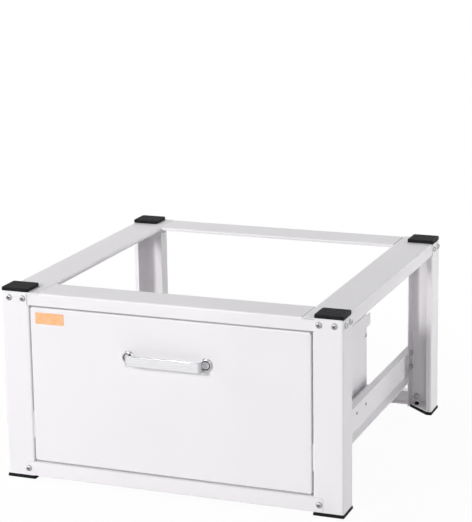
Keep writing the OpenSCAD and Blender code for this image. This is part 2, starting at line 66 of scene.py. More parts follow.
print("stand: frame loaded,", len(frame["nodes"]), "nodes")

cameraView = {
    "place": (1.14061, -2.90152, 1.11303),
    "turn": (77.7805, 0.8125, 21.0385),
    "lens": 122.89,
    "sensor": 36.0,
    "shiftUp": -0.0996,
    "near": 0.05,
    "far": 60,
}


def placeCamera(s):
    data = bpy.data.cameras.new("photoCamera")
    data.lens = s["lens"]
    data.sensor_width = s["sensor"]
    data.sensor_fit = "AUTO"
    data.shift_y = s["shiftUp"]
    data.clip_start = s["near"]
    data.clip_end = s["far"]
    camera = bpy.data.objects.new("photoCamera", data)
    bpy.context.scene.collection.objects.link(camera)
    camera.location = s["place"]
    camera.rotation_euler = [math.radians(a) for a in s["turn"]]
    bpy.context.scene.camera = camera


placeCamera(cameraView)
print("stand: camera placed")


# small helpers for node materials

noiseSpan = (0.3, 0.7)  # most of a noise lies in here, so colour and gloss are spread over it
bevelSamples = 6


def emptyTree(owner, outputKind):
    owner.use_nodes = True
    tree = owner.node_tree
    tree.nodes.clear()
    return tree, tree.nodes.new(outputKind)


def newMaterial(name):
    material = bpy.data.materials.new(name)
    tree, out = emptyTree(material, "ShaderNodeOutputMaterial")
    shader = tree.nodes.new("ShaderNodeBsdfPrincipled")
    tree.links.new(shader.outputs["BSDF"], out.inputs["Surface"])
    return material, tree, shader


def objectPoint(tree, stretch=(1, 1, 1)):
    where = tree.nodes.new("ShaderNodeTexCoord")
    mapping = tree.nodes.new("ShaderNodeMapping")
    mapping.inputs["Scale"].default_value = stretch
    tree.links.new(where.outputs["Object"], mapping.inputs["Vector"])
    return mapping.outputs["Vector"]


def noiseAt(tree, point, scale, detail=3.0, rough=0.5):
    noise = tree.nodes.new("ShaderNodeTexNoise")
    noise.inputs["Scale"].default_value = scale
    noise.inputs["Detail"].default_value = detail
    noise.inputs["Roughness"].default_value = rough
    tree.links.new(point, noise.inputs["Vector"])
    return noise.outputs["Fac"]


def mathOf(tree, operation, *values):
    node = tree.nodes.new("ShaderNodeMath")
    node.operation = operation
    for value, socket in zip(values, node.inputs):
        tree.links.new(value, socket)
    return node.outputs[0]


def rangeOf(tree, value, low, high, span=noiseSpan):
    node = tree.nodes.new("ShaderNodeMapRange")
    node.inputs["From Min"].default_value = span[0]
    node.inputs["From Max"].default_value = span[1]
    node.inputs["To Min"].default_value = low
    node.inputs["To Max"].default_value = high
    tree.links.new(value, node.inputs["Value"])
    return node.outputs["Result"]


def colourFrom(tree, shader, value, low, high, span=noiseSpan):
    ramp = tree.nodes.new("ShaderNodeValToRGB")
    for element, where, colour in zip(ramp.color_ramp.elements, span, (low, high)):
        element.position = where
        element.color = (*colour, 1)
    tree.links.new(value, ramp.inputs["Fac"])
    tree.links.new(ramp.outputs["Color"], shader.inputs["Base Color"])


def glossFrom(tree, shader, value, gloss):
    tree.links.new(rangeOf(tree, value, *gloss), shader.inputs["Roughness"])


def bumpFrom(tree, shader, height, s):
    # the grain of a surface, on edges that are broken to a small radius
    soft = tree.nodes.new("ShaderNodeBevel")
    soft.samples = bevelSamples
    soft.inputs["Radius"].default_value = s["edge"]
    bump = tree.nodes.new("ShaderNodeBump")
    bump.inputs["Strength"].default_value = s["bump"]
    bump.inputs["Distance"].default_value = s["depth"]
    tree.links.new(height, bump.inputs["Height"])
    tree.links.new(soft.outputs["Normal"], bump.inputs["Normal"])
    tree.links.new(bump.outputs["Normal"], shader.inputs["Normal"])


# finishes: bump is the strength of the grain, depth its height and edge the edges' radius

whitePaint = {
    "pale": (0.850, 0.830, 0.852),
    "deep": (0.822, 0.803, 0.826),
    "cloudSize": 5.0,
    "gloss": (0.36, 0.46),
    "glossSize": 22.0,
    "peelSize": 420.0,
    "peelRough": 0.45,
    "detail": 2.0,
    "bump": 0.35,
    "depth": 0.00006,
    "edge": 0.0006,
    "ior": 1.48,
}
drawerPaint = {**whitePaint, "peelSize": 460.0, "edge": 0.0004}


def powderCoat(name, s):
    # faint clouds of colour and gloss, under the fine peel of a baked powder
    material, tree, shader = newMaterial(name)
    point = objectPoint(tree)
    cloud = noiseAt(tree, point, s["cloudSize"], s["detail"])
    peel = noiseAt(tree, point, s["peelSize"], s["detail"], s["peelRough"])
    colourFrom(tree, shader, cloud, s["deep"], s["pale"])
    glossFrom(tree, shader, noiseAt(tree, point, s["glossSize"]), s["gloss"])
    bumpFrom(tree, shader, peel, s)
    shader.inputs["IOR"].default_value = s["ior"]
    return material


blackRubber = {
    "dark": (0.006, 0.006, 0.007),
    "light": (0.015, 0.015, 0.017),
    "span": (0.35, 0.75),
    "dustSize": 60.0,
    "dustDetail": 4.0,
    "grainSize": 900.0,
    "rough": 0.6,
    "gloss": (0.55, 0.72),
    "bump": 0.4,
    "depth": 0.0001,
    "edge": 0.0004,
    "shine": 0.10,
}


def mouldedRubber(name, s):
    material, tree, shader = newMaterial(name)
    point = objectPoint(tree)
    dust = noiseAt(tree, point, s["dustSize"], s["dustDetail"], s["rough"])
    grain = noiseAt(tree, point, s["grainSize"], rough=s["rough"])
    colourFrom(tree, shader, dust, s["dark"], s["light"], s["span"])
    glossFrom(tree, shader, grain, s["gloss"])
    bumpFrom(tree, shader, grain, s)
    shader.inputs["Specular IOR Level"].default_value = s["shine"]
    return material


# what the metals share; stretch draws the streaks of their grain out along an axis
plated = {"detail": 4.0, "rough": 0.6, "bump": 0.15, "stretch": (1, 1, 1)}


def platedSteel(name, s):
    material, tree, shader = newMaterial(name)
    point = objectPoint(tree, s["stretch"])
    streak = noiseAt(tree, point, s["grain"], s["detail"], s["rough"])
    colourFrom(tree, shader, streak, s["dark"], s["light"])
    glossFrom(tree, shader, streak, s["gloss"])
    bumpFrom(tree, shader, streak, s)
    shader.inputs["Metallic"].default_value = 1.0
    return material


def shadedBar(name, s, shadeMarks):
    # plated steel with painted shade: its colour is painted duller, as shade and a dimmer
    # reflection, towards the ends and along both edges of the bar
    material = platedSteel(name, s)
    tree = material.node_tree
    shader = next(node for node in tree.nodes if node.type == "BSDF_PRINCIPLED")
    bright = shader.inputs["Base Color"].links[0].from_socket
    axes = tree.nodes.new("ShaderNodeSeparateXYZ")
    tree.links.new(objectPoint(tree), axes.inputs[0])
    across, up = mathOf(tree, "ABSOLUTE", axes.outputs["X"]), axes.outputs["Z"]
    # painted shade over the bends and feet, then along the low edge and the top edge
    paintedShade = rangeOf(tree, across, 0.0, 1.0, shadeMarks["bends"])
    for share, span in (shadeMarks["lowEdge"], shadeMarks["topEdge"]):
        paintedShade = mathOf(tree, "MAXIMUM", paintedShade, rangeOf(tree, up, 0.0, share, span))
    mix = tree.nodes.new("ShaderNodeMix")
    mix.data_type = "RGBA"
    mix.inputs["B"].default_value = (*shadeMarks["paintedShade"], 1)
    tree.links.new(paintedShade, mix.inputs["Factor"])
    tree.links.new(bright, mix.inputs["A"])
    tree.links.new(mix.outputs["Result"], shader.inputs["Base Color"])
    return material


boltZinc = {
    **plated, "dark": (0.33, 0.33, 0.34), "light": (0.47, 0.47, 0.48),
    "gloss": (0.42, 0.56), "grain": 260.0, "depth": 0.00003, "edge": 0.0002,
}
# a near-black copy of the zinc paints the shade inside cross recesses and rivet bores
recessShadeZinc = {
    **plated, "dark": (0.070, 0.070, 0.072), "light": (0.130, 0.130, 0.133),
    "gloss": (0.50, 0.64), "grain": 700.0, "depth": 0.00002, "edge": 0.0001,
}
slideZinc = {
    **plated, "dark": (0.46, 0.48, 0.51), "light": (0.60, 0.62, 0.65), "stretch": (6, 0.4, 6),
    "gloss": (0.28, 0.42), "grain": 160.0, "depth": 0.00003, "edge": 0.0004,
}
cageSteel = {
    **plated, "dark": (0.50, 0.50, 0.51), "light": (0.66, 0.66, 0.67), "stretch": (4, 0.5, 4),
    "gloss": (0.22, 0.34), "grain": 300.0, "depth": 0.00002, "edge": 0.0002,
}
ballSteel = {
    **plated, "dark": (0.70, 0.70, 0.72), "light": (0.82, 0.82, 0.83),
    "gloss": (0.08, 0.14), "grain": 500.0, "depth": 0.000005, "edge": 0.0001,
}
satinChrome = {
    **plated, "dark": (0.76, 0.76, 0.78), "light": (0.86, 0.86, 0.87), "stretch": (0.5, 5, 9),
    "gloss": (0.14, 0.24), "grain": 120.0, "depth": 0.00001, "edge": 0.0003,
}
# a near-black copy of the chrome paints the shade in the groove round each foot's boss
grooveShadedChrome = {
    **plated, "dark": (0.09, 0.09, 0.10), "light": (0.20, 0.20, 0.21),
    "gloss": (0.20, 0.34), "grain": 400.0, "depth": 0.00001, "edge": 0.0001,
}
# a darker copy of the chrome paints a dimmer reflection on each foot's boss
bossShadedChrome = {
    **plated, "dark": (0.62, 0.62, 0.64), "light": (0.74, 0.74, 0.75),
    "gloss": (0.14, 0.24), "grain": 300.0, "depth": 0.00001, "edge": 0.0003,
}
# painted shade and dimmer reflection: the bar stays bright, while its bends, feet and both edges
# are painted duller
barPaintedShade = {
    "paintedShade": (0.50, 0.50, 0.52),
    "bends": (0.0632, 0.0668),
    "lowEdge": (0.75, (0.2322, 0.2302)),
    "topEdge": (1.0, (0.2466, 0.2474)),
}

finish = {
    "frame_white": powderCoat("frameWhite", whitePaint),
    "drawer_white": powderCoat("drawerWhite", drawerPaint),
    "black_rubber": mouldedRubber("blackRubber", blackRubber),
    "bolt_steel": platedSteel("boltSteel", boltZinc),
    "slide_zinc": platedSteel("slideZinc", slideZinc),
    "cage_steel": platedSteel("cageSteel", cageSteel),
    "handle_chrome": shadedBar("handleChrome", satinChrome, barPaintedShade),
    "grooveShadedChrome": platedSteel("grooveShadedChrome", grooveShadedChrome),
    "bossShadedChrome": platedSteel("bossShadedChrome", bossShadedChrome),
    "recessPaintedShade": platedSteel("recessPaintedShade", recessShadeZinc),
    "ballSteel": platedSteel("ballSteel", ballSteel),
}

# folded sheet is shaded smooth round its bends, and sharp at its cut edges
bendShading = {"sharpFrom": 42, "weight": 60}


def smoothByAngle(s):
    tree = bpy.data.node_groups.new("smoothBends", "GeometryNodeTree")
    for way in ("INPUT", "OUTPUT"):
        tree.interface.new_socket("Geometry", in_out=way, socket_type="NodeSocketGeometry")
    start = tree.nodes.new("NodeGroupInput")
    end = tree.nodes.new("NodeGroupOutput")
    faces = tree.nodes.new("GeometryNodeSetShadeSmooth")
    faces.domain = "FACE"
    edges = tree.nodes.new("GeometryNodeSetShadeSmooth")
    edges.domain = "EDGE"
    angle = tree.nodes.new("GeometryNodeInputMeshEdgeAngle")
    low = tree.nodes.new("FunctionNodeCompare")
    low.operation = "LESS_THAN"
    low.inputs["B"].default_value = math.radians(s["sharpFrom"])
    tree.links.new(angle.outputs["Unsigned Angle"], low.inputs["A"])
    tree.links.new(start.outputs[0], faces.inputs["Geometry"])
    tree.links.new(faces.outputs["Geometry"], edges.inputs["Geometry"])
    tree.links.new(low.outputs["Result"], edges.inputs["Shade Smooth"])
    tree.links.new(edges.outputs["Geometry"], end.inputs[0])
    return tree


def dressNodes(s):
    bends = smoothByAngle(s)
    for row in frame["record"]["subparts"]:
        node = frame["nodes"][row["node"]]
        node.data.materials.clear()
        node.data.materials.append(finish[row["material_slot"]])
        node.modifiers.new("smoothBends", "NODES").node_group = bends
        even = node.modifiers.new("evenNormals", "WEIGHTED_NORMAL")
        even.mode = "FACE_AREA"
        even.weight = s["weight"]
        even.keep_sharp = True


dressNodes(bendShading)
print("stand: finishes on the carried-over nodes")


# small helpers for meshes

tiny = 1e-7
tightest = 0.25  # the least share of its radius that a corner keeps as an outline shrinks
roundEdge = ((0, 1), (0.13, 0.5), (0.5, 0.13), (1, 0))  # (inwards, down) as shares of a radius


def addPiece(name, bm, materials, body, sharpFrom=35):
    mesh = bpy.data.meshes.new(name)
    bmesh.ops.recalc_face_normals(bm, faces=bm.faces)
    bm.to_mesh(mesh)
    bm.free()
    piece = bpy.data.objects.new(name, mesh)
    bpy.context.scene.collection.objects.link(piece)
    for material in materials:
        mesh.materials.append(finish[material])
    for face in mesh.polygons:
        face.use_smooth = True
    mesh.set_sharp_from_angle(angle=math.radians(sharpFrom))
    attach(piece, body)
    return piece


def fullTurn(steps):
    return [2 * math.pi * i / steps for i in range(steps)]


def polar(place, r, t, z):
    return place @ Vector((r * math.cos(t), r * math.sin(t), z))


def loft(bm, rings, skin=None):
    # skin gives the material of each band, then of the caps on the first and the last ring
    rows = [[bm.verts.new(p) for p in ring] for ring in rings]
    n = len(rows[0])
    skin = skin or [0] * (len(rings) + 1)
    for band, (a, b) in enumerate(zip(rows, rows[1:])):
        for i in range(n):
            j = (i + 1) % n
            bm.faces.new((a[i], a[j], b[j], b[i])).material_index = skin[band]
    bm.faces.new(rows[0][::-1]).material_index = skin[-2]
    bm.faces.new(rows[-1]).material_index = skin[-1]


def lathe(bm, profile, place, steps, skin=None):
    # profile of (radius, height) from bottom to top, both ends on the axis
    rows = []
    for r, h in profile:
        if r < tiny:
            rows.append([bm.verts.new(place @ Vector((0, 0, h)))])
        else:
            rows.append([bm.verts.new(polar(place, r, t, h)) for t in fullTurn(steps)])
    for band, (a, b) in enumerate(zip(rows, rows[1:])):
        for i in range(steps):
            j = (i + 1) % steps
            face = []
            for v in (a[i % len(a)], a[j % len(a)], b[j % len(b)], b[i % len(b)]):
                if v not in face:
                    face.append(v)
            if len(face) > 2:
                bm.faces.new(face).material_index = skin[band] if skin else 0


def rectangle(x0, x1, y0, y1):
    return [(x0, y0), (x1, y0), (x1, y1), (x0, y1)]


def roundedOutline(corners, radius, steps):
    # closed outline in the plane with each corner rounded
    points = []
    n = len(corners)
    for i in range(n):
        p = Vector(corners[i])
        a = (Vector(corners[i - 1]) - p).normalized()
        b = (Vector(corners[(i + 1) % n]) - p).normalized()
        half = a.angle(b) / 2
        c = p + (a + b).normalized() * radius / math.sin(half)
        start = p + a * radius / math.tan(half) - c
        end = p + b * radius / math.tan(half) - c
        for k in range(steps + 1):
            v = start.lerp(end, k / steps).normalized() * radius
            points.append(c + v)
    return points


def insetCorners(corners, by):
    # corners of the same outline with every side moved inwards
    n = len(corners)
    pairs = [(corners[i - 1], corners[i]) for i in range(n)]
    area = sum(a[0] * b[1] - b[0] * a[1] for a, b in pairs)
    way = 1 if area > 0 else -1
    out = []
    for i in range(n):
        p = Vector(corners[i])
        a = (p - Vector(corners[i - 1])).normalized()
        b = (Vector(corners[(i + 1) % n]) - p).normalized()
        inwards = Vector((-a.y, a.x)) * way + Vector((-b.y, b.x)) * way
        out.append(p + inwards * by / (1 + a.dot(b)))
    return out


def ringAt(corners, inset, radius, steps):
    # an outline inset by a distance; its corners tighten as it shrinks
    radius = max(radius - inset, radius * tightest)
    return roundedOutline(insetCorners(corners, inset), radius, steps)


def loftUp(bm, corners, profile, radius, steps):
    # an outline in plan that is lofted through rings of (inset, height)
    rings = [(ringAt(corners, inset, radius, steps), z) for inset, z in profile]
    loft(bm, [[(p.x, p.y, z) for p in ring] for ring, z in rings])


def towards(point, direction):
    # a frame whose +Z runs along direction
    turn = Vector(direction).to_track_quat("Z", "Y").to_matrix().to_4x4()
    return Matrix.Translation(Vector(point)) @ turn


def spun(place, degrees):
    return place @ Matrix.Rotation(math.radians(degrees), 4, "Z")


# round-headed bolts and screws with a cross recess, and their nuts

# bolts take the plated zinc, and the second finish paints the shade in their recesses
boltFinish = ["bolt_steel", "recessPaintedShade"]
boltShape = {
    "shank": 0.0030, "head": 0.0055, "headHeight": 0.0033,
    "recess": 0.0036, "recessDeep": 0.0017, "arm": 0.30,
    "nutAcross": 0.010, "nutThick": 0.005, "grip": 0.003, "tip": 0.0015, "pitch": 0.001,
}
# shares of the head's radius and height up the dome, then of the recess's down from the crown
headRings = {
    "steps": 48,
    "dome": (
        (0.96, 0.0), (1.0, 0.06), (1.0, 0.26), (0.97, 0.42),
        (0.90, 0.62), (0.80, 0.78), (0.70, 0.88), (0.66, 0.91),
    ),
    "crown": 0.985,
    "recess": ((1.0, 0.0), (0.92, 0.5), (0.55, 1.0)),
}
# root and end are shares of the shank's radius, lead a share of the pitch
threadShape = {"steps": 20, "root": 0.86, "end": 0.75, "lead": 0.3, "intoHead": 0.0004}
# (share of the corners' radius, height over the face) at the far face, then at the seat
nutRings = {
    "steps": 36,
    "far": ((0.80, 0.0), (0.88, 0.00012), (1.0, 0.0007)),
    "seat": ((1.0, -0.0006), (0.94, 0.0)),
}


def crossHead(bm, place, s):
    # a domed head whose top has a four-armed recess: its rings are pulled in between the arms
    h = s["headHeight"]
    turn = fullTurn(headRings["steps"])
    dome = headRings["dome"]
    rings = [[polar(place, s["head"] * share, t, h * z) for t in turn] for share, z in dome]
    for share, deep in headRings["recess"]:
        z = h * headRings["crown"] - s["recessDeep"] * deep
        ring = []
        for t in turn:
            arm = abs(math.cos(2 * t)) ** 3
            reach = share * s["recess"] * (s["arm"] + (1 - s["arm"]) * arm)
            ring.append(polar(place, reach, t, z))
        rings.append(ring)
    # the recess's walls and floor take the second finish, painted shade
    loft(bm, rings, [0] * len(dome) + [1, 1, 0, 1])


def addNut(bm, place, s):
    # six flats between two chamfered faces
    half = math.pi / 6
    corner = s["nutAcross"] / 2 / math.cos(half)
    seat, far = -s["grip"], -s["grip"] - s["nutThick"]
    levels = [(share, far + z) for share, z in nutRings["far"]]
    levels += [(share, seat + z) for share, z in nutRings["seat"]]
    rings = []
    for share, z in levels:
        ring = []
        for t in fullTurn(nutRings["steps"]):
            flat = math.cos(half) / math.cos(t % (math.pi / 3) - half)
            ring.append(polar(place, corner * min(share, flat), t, z))
        rings.append(ring)
    loft(bm, rings)


def addBolt(bm, place, s):
    # the head stands on the sheet; the threaded shank runs down to the tip, through any nut
    crossHead(bm, place, s)
    shank, pitch, thread = s["shank"], s["pitch"], threadShape
    length = s["grip"] + s["nutThick"] + s["tip"]
    profile = [(0, -length), (shank * thread["end"], -length)]
    z = -length + pitch * thread["lead"]
    for k in range(int((s["tip"] + s["nutThick"]) / pitch)):
        profile += [(shank * thread["root"], z + k * pitch), (shank, z + (k + 0.5) * pitch)]
    profile += [(shank, -s["grip"]), (shank, thread["intoHead"]), (0, thread["intoHead"])]
    lathe(bm, profile, place, thread["steps"])
    if s["nutThick"]:
        addNut(bm, place, s)


# each bolt stands at a turn of its own, in degrees
cornerBolts = {
    "acrossFront": (0.015, 0.041),
    "alongSide": (0.0125, 0.037),
    "height": 0.32475,
    "railX": 0.266,
    "railZ": 0.0195,
    "turnFrom": 17,
    "turnStep": 47,
}


def frameBoltPlaces(s):
    places = []
    for sx in (-1, 1):
        for y, way in ((frontY, -1), (rearY, 1)):
            for x in s["acrossFront"]:
                places.append(((sx * (halfW - x), y, s["height"]), (0, way, 0)))
            for d in s["alongSide"]:
                places.append(((sx * halfW, y - way * d, s["height"]), (sx, 0, 0)))
            places.append(((sx * s["railX"], y + way * stand["sheet"], s["railZ"]), (0, way, 0)))
    return places


def makeFrameBolts(s):
    bm = bmesh.new()
    for i, (point, way) in enumerate(frameBoltPlaces(s)):
        turn = s["turnFrom"] + s["turnStep"] * i
        addBolt(bm, spun(towards(point, way), turn), boltShape)
    piece = addPiece("frameBoltsThreaded", bm, boltFinish, "frame")
    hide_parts("frame_bolts")


tabBolts = {
    **boltShape, "headHeight": 0.0022, "recess": 0.0032, "recessDeep": 0.0012,
    "x": 0.254, "fromEnd": 0.022, "heights": (0.0845, 0.1125), "turnStep": 31,
}


def makeTabBolts(s):
    bm = bmesh.new()
    turn = 0
    for sx in (-1, 1):
        for y in (frontY + s["fromEnd"], rearY - s["fromEnd"]):
            for z in s["heights"]:
                turn += s["turnStep"]
                addBolt(bm, spun(towards((sx * s["x"], y, z), (-sx, 0, 0)), turn), s)
    piece = addPiece("railBoltsThreaded", bm, boltFinish, "frame")
    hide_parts("side_rail_bolts")


makeFrameBolts(cornerBolts)
makeTabBolts(tabBolts)
print("stand: bolts and nuts")


# tubular rivets that hold the outer slide members to the side rails

railRivets = {
    "steps": 28, "from": -0.0009, "chamfer": 0.0002, "boreFloor": 0.0005,
    "shank": 0.0022, "rim": 0.0033, "bore": 0.0019, "roll": 0.0008, "endShare": 0.9,
    # shares of the rim's radius and the roll's height, then the same of the bore's radius
    "rolled": ((0.9, 0.0), (1.0, 0.3), (0.92, 0.8), (0.75, 1.0)),
    "mouth": ((1.2, 0.8), (1.0, 0.3)),
}


def makeRailRivets(s):
    bm = bmesh.new()
    low, out = s["from"], stand["sheet"]
    profile = [
        (0, low), (s["shank"] * s["endShare"], low),
        (s["shank"], low + s["chamfer"]), (s["shank"], out),
    ]
    profile += [(s["rim"] * r, out + s["roll"] * h) for r, h in s["rolled"]]
    profile += [(s["bore"] * r, out + s["roll"] * h) for r, h in s["mouth"]]
    profile += [(s["bore"], low + s["boreFloor"]), (0, low + s["boreFloor"])]
    # the mouth and the bore take the second finish, painted shade
    skin = [0] * 8 + [1] * 3  # the last bands line the bore
    for sx in (-1, 1):
        for y in stand["slideHoles"]:
            place = towards((sx * stand["railWeb"], y, stand["slideZ"]), (sx, 0, 0))
            lathe(bm, profile, place, s["steps"], skin)
    addPiece("railRivets", bm, boltFinish, "frame")


makeRailRivets(railRivets)


# pan-head screws of the drawer: three a side into the slides, one a side into the back

drawerScrews = {
    **boltShape, "shank": 0.0019, "head": 0.0040, "headHeight": 0.0021,
    "recess": 0.0026, "recessDeep": 0.0012, "nutThick": 0.0, "tip": 0.0034, "grip": 0.0,
    "backY": 0.0486, "backZ": 0.212, "turnStep": 37, "backTurn": 20,
}


def makeDrawerScrews(s):
    bm = bmesh.new()
    side = stand["boxSide"]
    turn = 0
    for sx in (-1, 1):
        for y in stand["slideHoles"]:
            turn += s["turnStep"]
            point = (sx * (side - stand["drawerSheet"]), y, stand["slideZ"])
            addBolt(bm, spun(towards(point, (-sx, 0, 0)), turn), s)
        back = towards((sx * side, s["backY"], s["backZ"]), (sx, 0, 0))
        addBolt(bm, spun(back, turn + s["backTurn"]), s)
    addPiece("drawerScrews", bm, boltFinish, "drawer")


makeDrawerScrews(drawerScrews)
print("stand: rivets and drawer screws")


# rubber pads on the corners, with broad low ribs across the top

rubber = ["black_rubber"]
chamfer = {"inwards": 0.0003, "up": 0.0004}  # where pads and feet lie against the sheet
padShape = {
    "width": 0.050, "depth": 0.047, "thick": 0.006, "corner": 0.004, "cornerSteps": 6,
    "edge": 0.0012, "border": 0.0028, "sunk": 0.0005,
    "ribs": 5, "ribShare": 0.74, "ribRoot": 0.0002, "ribCorner": 0.0008, "ribSteps": 3,
    "ribSlope": (0.3, 0.5), "sharpFrom": 30,
}
pegShape = {
    "steps": 28, "radius": 0.004, "sunk": 0.001, "grip": 0.0018, "tip": 0.0055,
    "barb": 0.005, "barbEdge": 0.0002, "barbStep": 0.0003, "barbTip": 0.003, "tipEdge": 0.0004,
}


def addPeg(bm, place, s):
    # a peg with a barb behind the sheet that it is pushed through, along +Z
    grip, tip = s["grip"], s["tip"]
    profile = [
        (0, -s["sunk"]), (s["radius"], -s["sunk"]), (s["radius"], grip - s["barbEdge"]),
        (s["barb"] - s["barbEdge"], grip), (s["barb"], grip + s["barbStep"]),
        (s["barbTip"] + s["tipEdge"], tip - s["tipEdge"]), (s["barbTip"], tip), (0, tip),
    ]
    lathe(bm, profile, place, s["steps"])


def makePad(name, sx, y, way, s):
    bm = bmesh.new()
    x0, x1 = sorted((sx * halfW, sx * (halfW - s["width"])))
    y0, y1 = sorted((y, y - way * s["depth"]))
    z0, z1 = stand["topZ"], stand["topZ"] + s["thick"]
    edge, border, sunk = s["edge"], s["border"], s["sunk"]
    floor = z1 - sunk
    profile = [(chamfer["inwards"], z0), (0, z0 + chamfer["up"])]
    profile += [(edge * a, z1 - edge * b) for a, b in roundEdge]
    profile += [(border, z1), (border + sunk, floor)]
    loftUp(bm, rectangle(x0, x1, y0, y1), profile, s["corner"], s["cornerSteps"])
    # flat-topped ribs with sloping sides stand in the sunk field, level with the border
    gap = border + sunk * 2
    x0, x1, y0, y1 = x0 + gap, x1 - gap, y0 + gap, y1 - gap
    pitch = (y1 - y0) / s["ribs"]
    w = pitch * s["ribShare"] / 2
    a, b = s["ribSlope"]
    rib = ((0, floor - s["ribRoot"]), (sunk * a, floor + sunk * b), (sunk, z1))
    for k in range(s["ribs"]):
        cy = y0 + (k + 0.5) * pitch
        loftUp(bm, rectangle(x0, x1, cy - w, cy + w), rib, s["ribCorner"], s["ribSteps"])
    middle = (sx * (halfW - s["width"] / 2), y - way * s["depth"] / 2, z0)
    addPeg(bm, towards(middle, (0, 0, -1)), pegShape)
    piece = addPiece(name + "Ribbed", bm, rubber, "frame", s["sharpFrom"])
    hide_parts(name)


# moulded feet under the legs, with a treaded sole and a peg into the leg's base plate

footShape = {
    "high": 0.006, "flare": 0.001, "flareHigh": 0.0036, "corner": 0.0024, "cornerSteps": 5,
    "cut": 0.012, "pegIn": 0.014, "soleEdge": 0.004, "soleDeep": 0.0008,
    "soleRound": ((0.0006, 0), (0.0001, 0.0003), (0, 0.0008)),
    # (share of the flare, height over flareHigh) where the foot steps in
    "flareStep": ((0, -0.0008), (0.2, -0.0002), (0.7, 0.0002), (1, 0.0008)),
    "treads": 5, "treadFrom": 0.010, "treadPitch": 0.0072, "tread": 0.0018,
    "treadNear": 0.008, "treadFar": 0.014, "treadShorter": 0.0044,
    "treadCorner": 0.0008, "treadSteps": 3, "treadEdge": 0.0002, "treadLift": 0.00003,
    "sharpFrom": 30,
}


def makeFoot(name, sx, sy, s):
    bm = bmesh.new()
    d, f, middle = stand["legDepth"], s["flare"], stand["middleY"]
    corners = [
        (halfW + f, -halfD - f), (halfW + f, -halfD + d + f),
        (halfW - stand["legLip"], -halfD + d + f),
        (legInner - f, -halfD + s["cut"]), (legInner - f, -halfD - f),
    ]
    corners = [(sx * x, -sy * y + middle) for x, y in corners]
    high, deep = s["high"], s["soleDeep"]
    profile = [(s["soleEdge"] + deep, deep), (s["soleEdge"], 0), *s["soleRound"]]
    profile += [(f * share, s["flareHigh"] + z) for share, z in s["flareStep"]]
    profile += [(f, high - chamfer["up"]), (f + chamfer["inwards"], high)]
    loftUp(bm, corners, profile, s["corner"], s["cornerSteps"])
    # low bars in the hollow of the sole
    w, edge = s["tread"], s["treadEdge"]
    bar = ((0, deep + edge), (0, edge), (edge, s["treadLift"]))
    for k in range(s["treads"]):
        x = sx * (legInner + s["treadFrom"] + k * s["treadPitch"])
        far = s["treadFar"] + s["treadShorter"] * k
        y0, y1 = sorted((sy * (halfD - s["treadNear"]), sy * (halfD - far)))
        plan = rectangle(x - w, x + w, y0 + middle, y1 + middle)
        loftUp(bm, plan, bar, s["treadCorner"], s["treadSteps"])
    peg = (sx * (legInner + s["pegIn"]), sy * (halfD - s["pegIn"]) + middle, high)
    addPeg(bm, towards(peg, (0, 0, 1)), pegShape)
    piece = addPiece(name + "Moulded", bm, rubber, "frame", s["sharpFrom"])
    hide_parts(name)


for sx, side in ((-1, "left"), (1, "right")):
    for y, way, end in ((frontY, -1, "front"), (rearY, 1, "rear")):
        makePad("pad_" + end + "_" + side, sx, y, way, padShape)
        makeFoot("foot_" + end + "_" + side, sx, way, footShape)
print("stand: pads and feet")


# steel balls in the two rows of each cage; a row is (across, off the slide's middle height)

ballRows = {
    "radius": 0.0016, "around": 20, "upwards": 12, "pitch": 0.011, "first": -0.1654, "count": 11,
    "outer": (0.249, 0.0194), "inner": (0.245, 0.0154),
}


def makeBalls(name, body, row, s):
    bm = bmesh.new()
    rise = [math.pi * k / s["upwards"] for k in range(s["upwards"] + 1)]
    ball = [(s["radius"] * math.sin(t), -s["radius"] * math.cos(t)) for t in rise]
    for sx in (-1, 1):
        for up in (-1, 1):
            for k in range(s["count"]):
                y = s["first"] + k * s["pitch"]
                spot = (sx * row[0], y, stand["slideZ"] + up * row[1])
                lathe(bm, ball, Matrix.Translation(spot), s["around"])
    addPiece(name, bm, ["ballSteel"], body)


makeBalls("ballsOuter", "ball_cages_outer", ballRows["outer"], ballRows)
makeBalls("ballsInner", "ball_cages_inner", ballRows["inner"], ballRows)
print("stand: balls in their cages")


# the handle: a crowned strap bent back square on to two feet, each with a groove round its boss

handleShape = {
    "length": 0.138, "feet": 0.141, "high": 0.019, "thick": 0.003, "out": 0.024,
    "bend": 0.0055, "bendSteps": 12, "sink": 0.002, "z": 0.239,
    "corner": 0.0006, "cornerSteps": 5, "crown": 0.0004, "crownFrom": -0.85, "crownStep": 0.17,
    "crownPoints": 11, "footRadius": 0.0115, "footThick": 0.004, "footSteps": 48, "boss": 0.0061,
    "sharpFrom": 40,
    # (inwards from the foot's radius, outwards from the drawer front)
    "footRings": (
        (0.0002, 0), (0, 0.0002), (0, 0.0011), (0.0003, 0.0015), (0.0011, 0.0016),
        (0.0012, 0.0020), (0.0009, 0.0023), (0.0010, 0.0032), (0.0016, 0.0038),
        (0.0026, 0.0040), (0.0034, 0.0038), (0.0035, 0.0022),
    ),
    # (inwards from the boss's radius, outwards from the drawer front)
    "bossRings": ((-0.0001, 0.0022), (0, 0.0036), (0.0004, 0.0040)),
}


